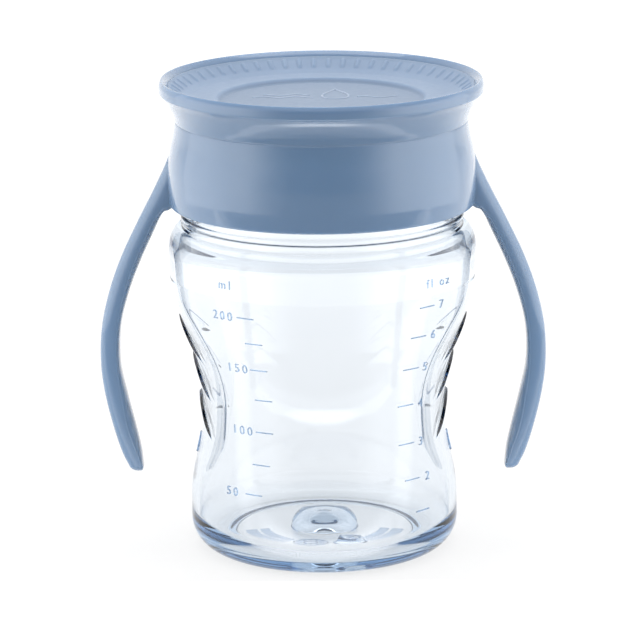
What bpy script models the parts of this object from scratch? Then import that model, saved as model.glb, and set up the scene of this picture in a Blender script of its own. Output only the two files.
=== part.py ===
"""Two-handled trainer cup with a 360-degree drinking valve.

A clear waisted tumbler, a screw collar with a flared drinking rim and two open
handles, a spoked carrier that sits on a ledge inside the collar, a silicone
valve disc pushed onto the carrier's post, and a sealing ring on the cup's rim.
The origin is the centre of the foot, +Z points up and the handles lie along X.
"""

import math

import bmesh
import bpy
from mathutils import Matrix, Vector

MM = 0.001
SEGMENTS = 48            # facets round every turned piece
GAP = 0.3                # clearance between pieces that touch, mm

# Tumbler, mm
FOOT_INNER_R = 24.5      # flat ring that the cup stands on
FOOT_OUTER_R = 27.6
FOOT_RECESS = 1.4        # the underside is pushed up by this much
LOWER_R = 33.8           # radius above the heel
HEEL_HEIGHT = 7.5
UPPER_R = 38.45          # radius below the shoulder
LOWER_TOP_Z = 14.0       # where the wall starts to widen
UPPER_Z = 70.0           # where it is fully wide
SHOULDER_Z = 76.6
NECK_Z = 82.4
WALL = 1.9
FLOOR_Z = 3.6
DOME_R = 8.2             # hollow dome in the middle of the floor
DOME_TOP_R = 5.2
DOME_Z = 9.3
DOME_WALL = 2.4
NECK_RING_R = 35.6       # plain ring of the neck seen under the collar
NECK_RING_TOP_Z = 85.8
NECK_R = 34.3
NECK_BORE_R = 32.3
RIM_Z = 104.5

# Grip recesses pressed into the left and right sides, mm
GRIP_X = 30.5            # distance of the deepest point from the axis
GRIP_Z = 33.5
GRIP_RISE = 37.5         # height over which it runs out upwards
GRIP_FALL = 21.0         # and downwards
GRIP_EASE = 1.42         # keeps the upper run-out slender
GRIP_BOW = 48.0          # radius of the recess across the cup
GRIP_EDGE = 0.7          # softness of the recess's edge

# Arched ridges in each grip recess, mm
RIDGE_TOPS_Z = (59.8, 50.0, 40.0)
RIDGE_HALF_SPAN = 16.0
RIDGE_DROP = 9.5         # how far a ridge's ends hang under its top
RIDGE_DEPTH = 7.6        # its height in the middle, tapering to the ends
RIDGE_HEIGHT = 1.0       # how far it stands out of the recess
RIDGE_STATIONS = 14

# Screw thread, mm
THREAD_PITCH = 4.8
THREAD_TURNS = 1.2
THREAD_START_Z = 94.2    # middle of the cup's ridge where it starts
THREAD_CUP_CREST_R = 35.6
THREAD_COLLAR_CREST_R = 34.9
THREAD_COLLAR_DROP = 2.0  # the collar's ridge lies this far under the cup's
THREAD_STEPS = 36        # per turn

# Collar, mm
COLLAR_BOTTOM_Z = 87.8
COLLAR_R = 38.4
SKIRT_BORE_R = 36.2
LEDGE_Z = 106.0          # underside of the inner ledge
LEDGE_TOP_Z = 107.6
LEDGE_BORE_R = 30.6
WAIST_R = 36.45          # narrowest place, under the flare
WAIST_Z = 108.4
LIP_R = 40.3
LIP_TOP_Z = 119.1

# Valve, carrier and seal, mm
VALVE_R = 37.9
VALVE_THICK = 1.2
VALVE_FLOOR_Z = 113.3
VALVE_FLOOR_R = 25.0
VALVE_LEDGE_Z = 114.5
POST_R = 4.0
POST_TOP_Z = 111.7
HUB_R = 5.4
SPOKE_WIDTH = 3.4
CARRIER_OUTER_R = 33.8
CARRIER_INNER_R = 28.6
CARRIER_THICK = 1.8
GASKET_OUTER_R = 34.6
GASKET_INNER_R = 31.4

# Handles, mm: the outer and inner edges in the plane of the handles
HANDLE_OUTER = [(36.9, 103.2), (37.7, 101.0), (39.4, 96.8), (42.4, 90.6), (45.8, 84.0), (50.3, 74.6),
                (53.6, 65.5), (55.7, 56.0), (56.1, 47.0), (55.2, 38.8), (53.2, 30.0), (51.2, 23.5), (49.7, 20.3)]
HANDLE_INNER = [(37.0, 87.0), (38.2, 86.2), (39.4, 85.7), (40.5, 83.9), (41.7, 81.2), (45.3, 73.4),
                (48.4, 65.3), (50.6, 56.5), (50.9, 47.0), (49.4, 38.8), (47.5, 30.6), (46.2, 24.6), (45.7, 20.4)]
HANDLE_STATIONS = 30
HANDLE_TIP_DROP = 2.0     # the rounded tip's reach beyond the last section
HANDLE_TIP_TURNS = (35.0, 65.0, 85.0)
HANDLE_SIDES = 12
HANDLE_ROOT_WIDTH = 9.2
HANDLE_TIP_WIDTH = 7.2
HANDLE_SEAM = 1.2        # the widest line of the section lies this far from its inner edge
HANDLE_FULLNESS = 0.85   # below 1 fills the section's corners

CLEAR = ((0.86, 0.90, 0.96, 1.0), 0.05)
BLUE = ((0.30, 0.40, 0.55, 1.0), 0.25)
SILICONE = ((0.42, 0.50, 0.62, 1.0), 0.55)


def clear_scene():
    for old in list(bpy.data.objects):
        bpy.data.objects.remove(old, do_unlink=True)


def make_material(name, look):
    colour, roughness = look
    material = bpy.data.materials.new(name)
    material.use_nodes = True
    shader = material.node_tree.nodes["Principled BSDF"]
    shader.inputs["Base Color"].default_value = colour
    shader.inputs["Roughness"].default_value = roughness
    material.diffuse_color = colour
    return material


def add_object(name, bm, look=None):
    """Turn a bmesh in millimetres into an object in metres."""
    bmesh.ops.scale(bm, vec=(MM, MM, MM), verts=bm.verts)
    bmesh.ops.recalc_face_normals(bm, faces=bm.faces)
    mesh = bpy.data.meshes.new(name)
    bm.to_mesh(mesh)
    bm.free()
    mesh.shade_smooth()
    mesh.set_sharp_from_angle(angle=math.radians(35))
    thing = bpy.data.objects.new(name, mesh)
    bpy.context.collection.objects.link(thing)
    if look:
        mesh.materials.append(make_material(name, look))
    return thing


def hide_cutter(thing):
    thing.hide_render = True
    thing.display_type = "WIRE"


def combine(target, tool, operation):
    modifier = target.modifiers.new(tool.name, "BOOLEAN")
    modifier.operation = operation
    modifier.object = tool
    hide_cutter(tool)


def turned(profile, segments=SEGMENTS):
    """Spin a closed outline of (radius, height) points round the Z axis."""
    bm = bmesh.new()
    verts = [bm.verts.new((radius, 0.0, height)) for radius, height in profile]
    on_axis = profile[0][0] == 0.0 and profile[-1][0] == 0.0
    edges = [bm.edges.new(pair) for pair in zip(verts, verts[1:])]
    if not on_axis:
        edges.append(bm.edges.new((verts[-1], verts[0])))
    bmesh.ops.spin(bm, geom=verts + edges, cent=(0, 0, 0), axis=(0, 0, 1),
                   angle=math.tau, steps=segments, use_merge=True)
    bmesh.ops.remove_doubles(bm, verts=bm.verts, dist=1e-4)
    return bm


def arc(centre, radii, start, end, steps):
    """Points on an ellipse's arc, from angle start to end in degrees."""
    points = []
    for step in range(steps + 1):
        angle = math.radians(start + (end - start) * step / steps)
        points.append((centre[0] + radii[0] * math.cos(angle), centre[1] + radii[1] * math.sin(angle)))
    return points


def smooth_step(value):
    value = min(max(value, 0.0), 1.0)
    return value * value * (3.0 - 2.0 * value)


def wall_radius(z):
    """Outer radius of the round tumbler, before its grips are pressed in."""
    rise = min(max((z - LOWER_TOP_Z) / (UPPER_Z - LOWER_TOP_Z), 0.0), 1.0)
    return LOWER_R + (UPPER_R - LOWER_R) * smooth_step(rise ** 1.75)


def grip_depth_x(z):
    """Distance from the axis to the middle of a grip recess at height z."""
    if z >= GRIP_Z:
        rise = min((z - GRIP_Z) / GRIP_RISE, 1.0)
        return GRIP_X + (UPPER_R - GRIP_X) * smooth_step(rise ** GRIP_EASE)
    return GRIP_X + (LOWER_R - GRIP_X) * smooth_step((GRIP_Z - z) / GRIP_FALL)


def pressed_radius(round_radius, angle, z):
    """Radius at an angle once the grip recess is pressed into the round wall."""
    across = math.sin(angle) ** 2 / GRIP_BOW
    along = abs(math.cos(angle))
    reach = grip_depth_x(z)
    if across < 1e-6:
        grip = reach
    else:
        grip = (math.sqrt(along * along + 2.0 * across * reach) - along) / across
    gap = grip - round_radius
    return (grip + round_radius - math.sqrt(gap * gap + GRIP_EDGE * GRIP_EDGE)) / 2.0


def press_grips(bm):
    """Press both grip recesses into the turned tumbler, inside and outside alike."""
    for vert in bm.verts:
        x, y, z = vert.co
        radius = math.hypot(x, y)
        if z < HEEL_HEIGHT or z > SHOULDER_Z or radius < FOOT_OUTER_R:
            continue
        full = wall_radius(z)
        pressed = pressed_radius(full, math.atan2(y, x), z)
        ease = 1.0 - smooth_step((z - UPPER_Z) / (SHOULDER_Z - UPPER_Z))
        scale = 1.0 - (full - pressed) * ease / radius
        vert.co.x *= scale
        vert.co.y *= scale


def body_levels(count):
    return [LOWER_TOP_Z + (UPPER_Z - LOWER_TOP_Z) * step / count for step in range(count + 1)]


def tumbler_profile():
    outer = [(0.0, DOME_Z - DOME_WALL), (3.8, DOME_Z - DOME_WALL), (5.8, 4.6), (6.6, FOOT_RECESS)]
    outer += [(FOOT_INNER_R - 2.5, FOOT_RECESS), (FOOT_INNER_R, 0.0)]
    outer += arc((FOOT_OUTER_R, HEEL_HEIGHT), (LOWER_R - FOOT_OUTER_R, HEEL_HEIGHT), -90, 0, 5)
    outer += [(wall_radius(z), z) for z in body_levels(9)]
    outer += arc((NECK_RING_R, SHOULDER_Z), (UPPER_R - NECK_RING_R, NECK_Z - SHOULDER_Z), 0, 90, 4)
    outer += [(NECK_RING_R, NECK_RING_TOP_Z), (NECK_R, NECK_RING_TOP_Z + 0.6)]
    outer += [(NECK_R, RIM_Z - 0.5), (NECK_R - 0.5, RIM_Z), (NECK_BORE_R + 0.4, RIM_Z)]
    inner = [(NECK_BORE_R, RIM_Z - 0.4), (NECK_BORE_R, NECK_Z)]
    inner += [(UPPER_R - WALL - 1.6, SHOULDER_Z + 1.8), (UPPER_R - WALL, SHOULDER_Z - 1.4)]
    inner += [(wall_radius(z) - WALL, z) for z in reversed(body_levels(7))]
    inner += arc((FOOT_OUTER_R - 1.0, FLOOR_Z + 5.0), (LOWER_R - WALL - FOOT_OUTER_R + 1.0, 5.0), 0, -90, 3)
    inner += [(DOME_R, FLOOR_Z), (DOME_R - 0.3, 6.2), (DOME_R - 1.3, 8.2), (DOME_TOP_R, DOME_Z), (0.0, DOME_Z)]
    return outer + inner


def thread_ridge(name, root_r, crest_r, drop):
    """A helical ridge with a trapezium section that tapers away at both ends."""
    steps = round(THREAD_STEPS * THREAD_TURNS)
    buried_r = root_r - math.copysign(0.5, crest_r - root_r)
    bm = bmesh.new()
    rings = []
    for step in range(steps + 1):
        angle = math.tau * THREAD_TURNS * step / steps
        z = THREAD_START_Z - drop + THREAD_PITCH * THREAD_TURNS * step / steps
        taper = min(1.0, (min(step, steps - step) + 0.5) / 4.0)
        crest = root_r + (crest_r - root_r) * taper
        section = [(buried_r, -1.0), (root_r, -1.0), (crest, -0.45)]
        section += [(crest, 0.45), (root_r, 1.0), (buried_r, 1.0)]
        rings.append([bm.verts.new((r * math.cos(angle), r * math.sin(angle), z + rise))
                      for r, rise in section])
    for low, high in zip(rings, rings[1:]):
        for index in range(len(low)):
            following = (index + 1) % len(low)
            bm.faces.new((low[index], low[following], high[following], high[index]))
    bm.faces.new(rings[0])
    bm.faces.new(rings[-1])
    return add_object(name, bm)


def recess_point(y, z, out):
    """Point on the right grip recess, moved out of it by a distance."""
    angle = 0.0
    for _ in range(6):
        radius = pressed_radius(wall_radius(z), angle, z)
        angle = math.asin(y / radius)
    return Vector(((radius + out) * math.cos(angle), (radius + out) * math.sin(angle), z))


def grip_ridge(name, top, side):
    """One arched ridge: it steps out of the recess at its upper edge and slopes back below."""
    bm = bmesh.new()
    rings = []
    for station in range(RIDGE_STATIONS):
        across = -1.0 + 2.0 * station / (RIDGE_STATIONS - 1)
        taper = 1.0 - across * across
        y = RIDGE_HALF_SPAN * across
        upper = top - RIDGE_DROP * abs(across) ** 1.35
        depth = RIDGE_DEPTH * (0.12 + 0.88 * taper)
        height = RIDGE_HEIGHT * (0.15 + 0.85 * taper)
        section = [(upper, -0.8), (upper, 0.0), (upper - 0.16 * depth, height),
                   (upper - 0.8 * depth, 0.5 * height),
                   (upper - depth, 0.0), (upper - depth, -0.8)]
        places = [recess_point(y, z, out) for z, out in section]
        rings.append([bm.verts.new((place.x * side, place.y * side, place.z)) for place in places])
    for low, high in zip(rings, rings[1:]):
        for index in range(len(low)):
            following = (index + 1) % len(low)
            bm.faces.new((low[index], low[following], high[following], high[index]))
    bm.faces.new(rings[0])
    bm.faces.new(rings[-1])
    return add_object(name, bm)


def make_tumbler():
    bm = turned(tumbler_profile())
    press_grips(bm)
    tumbler = add_object("cup_body", bm, CLEAR)
    combine(tumbler, thread_ridge("cup_thread", NECK_R, THREAD_CUP_CREST_R, 0.0), "UNION")
    for side_name, side in (("right", 1.0), ("left", -1.0)):
        for number, top in enumerate(RIDGE_TOPS_Z):
            combine(tumbler, grip_ridge(f"ridge_{side_name}_{number}", top, side), "UNION")
    return tumbler


def collar_profile():
    outer = [(SKIRT_BORE_R + 0.5, COLLAR_BOTTOM_Z), (COLLAR_R - 0.7, COLLAR_BOTTOM_Z)]
    outer += [(COLLAR_R, COLLAR_BOTTOM_Z + 0.8), (COLLAR_R, 96.5), (37.95, 100.3), (37.0, 104.4)]
    outer += [(WAIST_R, WAIST_Z), (36.75, 109.9), (37.75, 112.3), (39.2, 114.5), (LIP_R - 0.25, 115.9)]
    outer += [(LIP_R, 117.2), (40.0, 118.3), (39.3, LIP_TOP_Z), (38.6, 118.8)]
    inner = [(VALVE_R + GAP, 118.1), (36.4, 114.4), (35.0, 111.5), (34.3, 109.6), (34.2, LEDGE_TOP_Z)]
    inner += [(LEDGE_BORE_R, LEDGE_TOP_Z), (LEDGE_BORE_R, LEDGE_Z)]
    inner += [(SKIRT_BORE_R - 0.6, LEDGE_Z), (SKIRT_BORE_R, LEDGE_Z - 0.6)]
    inner += [(SKIRT_BORE_R, COLLAR_BOTTOM_Z + 0.5)]
    return outer + inner


def make_collar():
    collar = add_object("drinking_collar", turned(collar_profile()), BLUE)
    ridge = thread_ridge("collar_thread", SKIRT_BORE_R, THREAD_COLLAR_CREST_R, THREAD_COLLAR_DROP)
    combine(collar, ridge, "UNION")
    return collar


def curve_point(points, position):
    """Point on a Catmull-Rom curve through the points; position runs from 0 to 1."""
    scaled = position * (len(points) - 1)
    index = min(int(scaled), len(points) - 2)
    t = scaled - index
    before = Vector(points[max(index - 1, 0)])
    start = Vector(points[index])
    end = Vector(points[index + 1])
    after = Vector(points[min(index + 2, len(points) - 1)])
    return 0.5 * (2.0 * start + (end - before) * t + (2.0 * before - 5.0 * start + 4.0 * end - after) * t ** 2
                  + (3.0 * start - before - 3.0 * end + after) * t ** 3)


def section_ring(bm, inner, outer, half_width, seam=HANDLE_SEAM):
    """One cross-section of a handle: a deep crown outside its widest line, a shallow one inside."""
    across = (outer - inner).normalized()
    crown = (outer - inner).length - seam
    widest = inner + across * seam
    ring = []
    for side in range(HANDLE_SIDES):
        angle = math.tau * side / HANDLE_SIDES
        cos, sin = math.cos(angle), math.sin(angle)
        bulge = abs(sin) ** HANDLE_FULLNESS * (crown if sin > 0 else -seam)
        wide = math.copysign(abs(cos) ** HANDLE_FULLNESS, cos)
        place = widest + across * bulge
        ring.append(bm.verts.new((place.x, half_width * wide, place.y)))
    return ring


def handle_mesh():
    """The right handle, from its root inside the collar's wall to its rounded tip."""
    bm = bmesh.new()
    rings = []
    for station in range(HANDLE_STATIONS):
        position = station / (HANDLE_STATIONS - 1)
        width = HANDLE_ROOT_WIDTH + (HANDLE_TIP_WIDTH - HANDLE_ROOT_WIDTH) * smooth_step(position * 1.3)
        rings.append(section_ring(bm, curve_point(HANDLE_INNER, position), curve_point(HANDLE_OUTER, position),
                                  width / 2.0))
    last_inner = Vector(HANDLE_INNER[-1])
    last_outer = Vector(HANDLE_OUTER[-1])
    middle = (last_inner + last_outer) / 2.0
    run = (last_inner + last_outer - Vector(HANDLE_INNER[-2]) - Vector(HANDLE_OUTER[-2])).normalized()
    for turn in HANDLE_TIP_TURNS:
        shrink = math.cos(math.radians(turn))
        centre = middle + run * HANDLE_TIP_DROP * math.sin(math.radians(turn))
        half_depth = (last_outer - middle) * shrink
        rings.append(section_ring(bm, centre - half_depth, centre + half_depth,
                                  HANDLE_TIP_WIDTH * shrink / 2.0, HANDLE_SEAM * shrink))
    for low, high in zip(rings, rings[1:]):
        for index in range(HANDLE_SIDES):
            following = (index + 1) % HANDLE_SIDES
            bm.faces.new((low[index], low[following], high[following], high[index]))
    bm.faces.new(rings[0])
    bm.faces.new(rings[-1])
    return bm


def make_handles():
    """Both handles, cut back to the collar's outside so that each stands just clear of it."""
    cutter_profile = [(0.0, 80.0), (COLLAR_R + GAP, 80.0), (COLLAR_R + GAP, 96.5), (37.95 + GAP, 100.3),
                      (37.0 + GAP, 104.4), (WAIST_R + GAP, WAIST_Z), (0.0, WAIST_Z)]
    cutter = add_object("handle_cutter", turned(cutter_profile))
    hide_cutter(cutter)
    for name, turn in (("handle_right", 0.0), ("handle_left", math.pi)):
        bm = handle_mesh()
        bmesh.ops.rotate(bm, verts=bm.verts, cent=(0, 0, 0), matrix=Matrix.Rotation(turn, 3, "Z"))
        handle = add_object(name, bm, BLUE)
        combine(handle, cutter, "DIFFERENCE")


def make_valve():
    """Silicone disc: a sloping rim, a flat ledge, a lower floor and a socket underneath."""
    top = [(0.0, VALVE_FLOOR_Z), (VALVE_FLOOR_R, VALVE_FLOOR_Z), (VALVE_FLOOR_R + 0.8, VALVE_LEDGE_Z),
           (32.5, VALVE_LEDGE_Z), (34.8, 115.5), (37.4, 117.4), (VALVE_R, 117.9)]
    under = [(VALVE_R - 0.25, 117.0), (35.3, 114.5), (33.2, VALVE_LEDGE_Z - VALVE_THICK),
             (VALVE_FLOOR_R + 0.4, VALVE_LEDGE_Z - VALVE_THICK),
             (VALVE_FLOOR_R - 0.6, VALVE_FLOOR_Z - VALVE_THICK)]
    socket = [(POST_R + 2.6, VALVE_FLOOR_Z - VALVE_THICK), (POST_R + 2.4, 109.9), (POST_R + GAP, 109.9),
              (POST_R + GAP, VALVE_FLOOR_Z - VALVE_THICK), (0.0, VALVE_FLOOR_Z - VALVE_THICK)]
    return add_object("valve_membrane", turned(top + under + socket), SILICONE)


def make_carrier():
    """Spoked ring on the collar's ledge, with the post that holds the valve."""
    low = LEDGE_TOP_Z + GAP
    high = low + CARRIER_THICK
    ring = [(CARRIER_INNER_R, low), (CARRIER_OUTER_R, low), (CARRIER_OUTER_R, high), (CARRIER_INNER_R, high)]
    carrier = add_object("valve_carrier", turned(ring), BLUE)
    hub = [(0.0, low), (HUB_R, low), (HUB_R, high), (POST_R, high), (POST_R, POST_TOP_Z), (0.0, POST_TOP_Z)]
    combine(carrier, add_object("carrier_hub", turned(hub, 24)), "UNION")
    for name, turn in (("carrier_bar_x", 0.0), ("carrier_bar_y", math.pi / 2.0)):
        bm = bmesh.new()
        bmesh.ops.create_cube(bm, size=1.0)
        length = 2.0 * (CARRIER_INNER_R + 1.0)
        height = CARRIER_THICK - 0.4
        bmesh.ops.scale(bm, vec=(length, SPOKE_WIDTH, height), verts=bm.verts)
        bmesh.ops.translate(bm, vec=(0, 0, (low + high) / 2.0), verts=bm.verts)
        bar = add_object(name, bm)
        bar.rotation_euler.z = turn
        combine(carrier, bar, "UNION")
    return carrier


def make_gasket():
    low = RIM_Z + GAP
    high = LEDGE_Z - GAP
    ring = [(GASKET_INNER_R, low), (GASKET_OUTER_R, low), (GASKET_OUTER_R, high), (GASKET_INNER_R, high)]
    return add_object("rim_gasket", turned(ring), SILICONE)


clear_scene()
make_tumbler()
make_collar()
make_handles()
make_valve()
make_carrier()
make_gasket()
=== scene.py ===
"""The finished look of the two-handled trainer cup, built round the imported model."""

import math

import bmesh
import bpy
import numpy as np
from mathutils import Matrix, Vector


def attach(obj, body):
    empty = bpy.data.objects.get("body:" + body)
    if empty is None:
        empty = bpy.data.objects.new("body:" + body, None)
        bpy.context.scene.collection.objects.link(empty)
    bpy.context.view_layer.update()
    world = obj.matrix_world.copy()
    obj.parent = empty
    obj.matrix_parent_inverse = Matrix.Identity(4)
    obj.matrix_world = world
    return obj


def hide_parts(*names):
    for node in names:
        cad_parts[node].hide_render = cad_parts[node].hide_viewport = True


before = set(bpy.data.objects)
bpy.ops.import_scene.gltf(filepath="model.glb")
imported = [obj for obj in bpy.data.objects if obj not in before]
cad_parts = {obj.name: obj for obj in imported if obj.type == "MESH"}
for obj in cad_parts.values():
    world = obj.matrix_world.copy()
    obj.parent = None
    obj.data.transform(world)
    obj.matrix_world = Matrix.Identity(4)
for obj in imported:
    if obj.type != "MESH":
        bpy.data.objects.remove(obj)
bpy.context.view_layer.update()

MM = 0.001
AROUND = 640              # columns of points round the tumbler
COLUMN_CROWDING = 0.9     # how much closer they stand at the grips
COLLAR_COLUMNS = 360
VALVE_COLUMNS = 1080

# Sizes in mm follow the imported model; the dome, the grips' edges and ridges and
# the handles' roots and seams differ a little

# Tumbler, mm
FOOT_INNER_R = 24.5
FOOT_OUTER_R = 27.6
FOOT_RECESS = 1.4
LOWER_R = 33.8
HEEL_HEIGHT = 7.5
UPPER_R = 38.45
LOWER_TOP_Z = 14.0
UPPER_Z = 70.0
SHOULDER_Z = 76.6
NECK_Z = 82.4
WALL = 1.9
FLOOR_Z = 3.6
DOME_R = 8.4
DOME_TOP_R = 3.4
DOME_Z = 8.3
NECK_RING_R = 35.6
NECK_R = 34.3
NECK_BORE_R = 32.3
NECK_STEP = 0.6           # how far the neck steps in under its rings
RIM_Z = 104.5
CORNER_R = 6.0            # inner corner between the floor and the wall
CORNER_INSET = 1.6

GRIP_X = 30.5
GRIP_Z = 33.5
GRIP_RISE = 37.5
GRIP_FALL = 21.0
GRIP_EASE = 1.42
GRIP_BOW = 48.0
GRIP_EDGE = 0.3

# Raised arched ridges inside each grip recess, mm
RIDGE_TOPS_Z = (59.8, 50.0, 40.0)
RIDGE_HALF_SPAN = 16.5
RIDGE_DROP = 9.5
RIDGE_DEPTH = 7.6
RIDGE_HEIGHT = 0.8

# Raised scales on the tumbler's front, mm: text, height up the wall, and the X
# at which a line's middle and its number stand
ML_SCALE = [("200", 66.2, -18.8, -24.3), ("", 59.8, -16.8, 0.0),
            ("150", 53.0, -15.7, -20.9), ("", 45.2, -14.6, 0.0),
            ("100", 36.8, -14.5, -19.9), ("", 28.3, -15.4, 0.0),
            ("50", 20.4, -17.3, -22.6)]
OZ_SCALE = [("7", 67.7, 25.3, 28.7), ("6", 60.3, 23.1, 26.7), ("5", 52.2, 21.3, 24.7),
            ("4", 42.8, 20.0, 23.6), ("3", 32.7, 20.2, 23.7), ("2", 23.2, 21.7, 25.4),
            ("", 14.5, 24.3, 0.0)]
UNIT_NAMES = [("ml", 74.0, -23.7), ("fl oz", 73.4, 28.0)]
LINE_LENGTH = 4.6
LETTER_HEIGHT = 2.2
LETTER_SPACING = 1.45
LETTER_BODY = 0.70        # height of a capital over the font's size
LETTER_THINNING = -0.035
MARK_GAP = 0.02
MARK_HEIGHT = 0.30
MARK_HALF_WIDTH = 0.15
FINE_HALF_WIDTH = MARK_HALF_WIDTH * 0.7

# Droplet outlines low in each grip recess, and the waves and droplet on the drinking disc, mm
DROPLET_Z = 26.0
DROPLET_HEIGHT = 5.2
DROPLET_SCALES = (1.0, 0.55)
MOTIF_GAP = 0.01
MOTIF_PLACE = (3.5, 8.5)
MOTIF_HEIGHT = 0.22
MOTIF_HALF_WIDTH = 0.26
MOTIF_DROPLET = 13.0
WAVE_LINES = ((-17.0, -2.0, 4.5), (-14.5, -3.0, 7.6), (9.0, 19.0, 4.5))   # from X, to X, Y
WAVE_DEPTH = 0.9
WAVE_LENGTH = 8.4

# Relief moulded into the floor, mm
DIAL_CENTRE = (-3.5, -17.0)
DIAL_R = 4.3
BUMP_CENTRE = (6.4, -16.6)
BUMP_R = 4.3
BUMP_DEPTH = 1.3
BUMP_RISE = 2.4
DIAL_HUB = 0.4            # the inner ring's share of the dial's radius
DIAL_SPOKES = 12
DIAL_SPOKE_REACH = (0.5, 0.86)
DASH_RINGS = ((19.0, 1.5), (15.6, 1.2))     # radius, half a dash's length
DASH_TURNS = (194.0, 238.0, 302.0, 346.0)   # degrees: the two arcs over which the dashes stand
DASHES = 11

# Screw thread, mm
THREAD_PITCH = 4.8
THREAD_TURNS = 1.2
THREAD_START_Z = 94.2
THREAD_HEIGHT = 1.3
THREAD_COLLAR_DROP = 2.0

# Collar, mm
COLLAR_BOTTOM_Z = 87.8
COLLAR_R = 38.4
SKIRT_BORE_R = 36.2
LEDGE_Z = 106.0
LEDGE_TOP_Z = 107.6
LEDGE_BORE_R = 30.6
CREASE_Z = 109.0
CREASE_R = 36.45
CREASE_HALF = 0.25
CREASE_DEPTH = 0.14
LIP_TOP_Z = 119.1
LIP_R = 40.3

# Valve disc, mm
VALVE_R = 37.9
VALVE_THICK = 1.2
VALVE_FLOOR_Z = 113.3
VALVE_FLOOR_R = 25.0
VALVE_LEDGE_Z = 114.5
VALVE_RIBS = 60
RIB_HALF_WIDTH = 0.62
RIB_FLANK = 0.30
RIB_FROM_R = 34.5
RIB_TO_R = 37.35
RIB_HEIGHT = 0.42
POST_R = 4.0
POST_BOTTOM_Z = 109.9

# Handles, mm: outer and inner edges in the plane of the handles, and how far
# the seam lies from the inner edge
HANDLE_OUTER = [(36.9, 103.2), (37.7, 101.0), (39.4, 96.8), (42.4, 90.6), (45.8, 84.0),
                (50.3, 74.6), (53.6, 65.5), (55.7, 56.0), (56.1, 47.0), (55.2, 38.8),
                (53.2, 30.0), (51.2, 23.5), (49.7, 20.3)]
HANDLE_INNER = [(37.0, 87.0), (38.2, 86.2), (39.4, 85.7), (40.5, 83.9), (41.7, 81.2),
                (45.3, 73.4), (48.4, 65.3), (50.6, 56.5), (50.9, 47.0), (49.4, 38.8),
                (47.5, 30.6), (46.2, 24.6), (45.7, 20.4)]
HANDLE_SEAM = [1.2, 1.2, 1.3, 1.3, 1.3, 1.3, 1.1, 0.8, 0.9, 1.4, 1.9, 1.2, 0.5]
HANDLE_STATIONS = 200
HANDLE_ROOT_WIDTH = 9.0
HANDLE_TIP_WIDTH = 7.2
HANDLE_CROWN_POWER = 2.8
HANDLE_BELLY_POWER = 2.2
HANDLE_CROWN_COUNT = 60
HANDLE_BELLY_COUNT = 36
HANDLE_RIDGE = 0.10
HANDLE_RIDGE_FOOT = 0.16
HANDLE_TIP_DROP = 2.0

# Materials: colours are linear, and a pair of tones is mixed by faint noise
CLEAR_TONE = (0.962, 0.968, 0.975)
CLEAR_TINT = (0.79, 0.86, 0.925, 1.0)
CLEAR_DENSITY = 135.0     # strength of the clear plastic's tint, per metre
# Painted shade: the raised marks, clear like the wall, get a greyer tone and a far deeper tint so
# they read as dark lines
MARK_PAINTED_SHADE_TONE = (0.86, 0.88, 0.92)
MARK_PAINTED_SHADE_DENSITY = 12000.0
BLUE_TONES = ((0.128, 0.222, 0.362), (0.138, 0.234, 0.378))
SILICONE_TONES = ((0.245, 0.330, 0.465), (0.262, 0.350, 0.488))
# Painted light: the disc motif uses a paler copy of the valve silicone so its raised lines look lit
MOTIF_PAINTED_LIGHT_TONES = ((0.47, 0.57, 0.74), (0.50, 0.60, 0.77))
SILICONE_ROUGHNESS = (0.42, 0.42 + 0.12)
# Painted shade: below these heights the silicone's colour is scaled down by the factor below,
# darkening the disc's sunk floor
SILICONE_PAINTED_SHADE_Z = (0.1136, 0.1142)         # metres: heights over which the painted shade fades out
SILICONE_PAINTED_SHADE = 0.84

# Camera: metres, degrees and millimetres of lens
CAMERA_TARGET_Z = 0.0573
CAMERA_DISTANCE = 0.870
CAMERA_PITCH = 14.2
CAMERA_ROLL = -0.45
CAMERA_LENS = 194.7
CAMERA_SHIFT_X = -0.0047

# Studio, metres: the floor glows less round the cup and towards the camera
FLOOR_R = 2.5
FLOOR_DROP = 0.0002
GLOW_NEAR = 0.72
GLOW_FAR = 0.92
GLOW_NEAR_R = (0.10, 0.40)
GLOW_DIM = 0.40
GLOW_DIM_Y = (-0.110, -0.082)
GLOW_STRIP = 3.0          # a bright strip of floor just in front of the cup
GLOW_STRIP_Y = (-0.068, -0.056, -0.040, -0.034)
GLOW_STRIP_X = (0.020, 0.055)
GLOW_STRIP_SIDES = 0.3
FLOOR_TONE = 0.28
ROOM_DIM = (0.27, 0.31, 0.36, 1.0)
ROOM_BRIGHT = (1.02, 1.025, 1.035, 1.0)
ROOM_TURN = (-0.70, 0.0)
ROOM_LIFT = 1.25          # how much sooner the room brightens overhead
PANEL_R = 0.32
PANEL_STEPS = 48
PANEL_FROM = 12.0         # degrees from the camera's side
PANEL_FULL = 60.0
PANEL_TO = 117.0
PANEL_FADE = 85.0         # beyond this angle the far end grows weaker
PANEL_END_LEVEL = 0.75
PANEL_LOW_Z = 0.016
PANEL_HIGH_Z = 0.24
PANEL_GLOW = 2.2
TOP_PLACE = (0.0, 0.15, 0.75)
TOP_TARGET = (0.0, 0.0, 0.1)
TOP_SIZE = (0.6, 0.4)
TOP_WATTS = 1.2

# Light bounces many times inside the clear wall
ALL_BOUNCES = 40
MIRROR_BOUNCES = 32


# ---------------------------------------------------------------- shapes

def smooth_step(value):
    value = np.clip(value, 0.0, 1.0)
    return value * value * (3.0 - 2.0 * value)


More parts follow.
